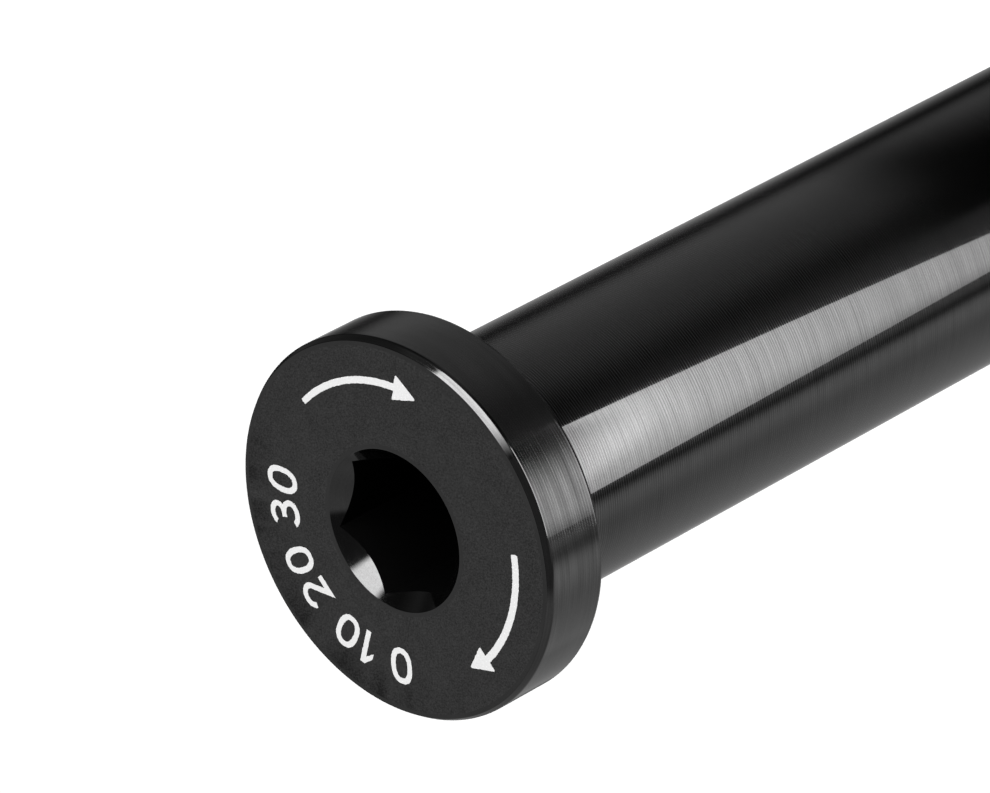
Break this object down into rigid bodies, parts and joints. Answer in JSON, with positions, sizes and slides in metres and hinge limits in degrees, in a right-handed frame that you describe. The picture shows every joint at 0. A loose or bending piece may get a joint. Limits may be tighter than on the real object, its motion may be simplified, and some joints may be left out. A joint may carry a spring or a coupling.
{
  "type": "bicycle thru axle",
  "caption": "Hollow turned front thru axle with a low round head, a hexagon socket, a plain shank and a threaded end, which holds a wheel in a fork.",
  "frame": {"origin": "middle of the threaded tip's face, where the axle stands on end", "axes": "+Z along the axle from the threaded tip up to the head; the corners of the hexagon socket lie on +X and -X"},
  "size_m": [0.0174, 0.0174, 0.1234],
  "materials": {
    "black_anodised_aluminium": "black anodised over fine turning lines, satin"
  },
  "bodies": {
    "root": {"thru_axle": "black_anodised_aluminium"}
  },
  "joints": []
}
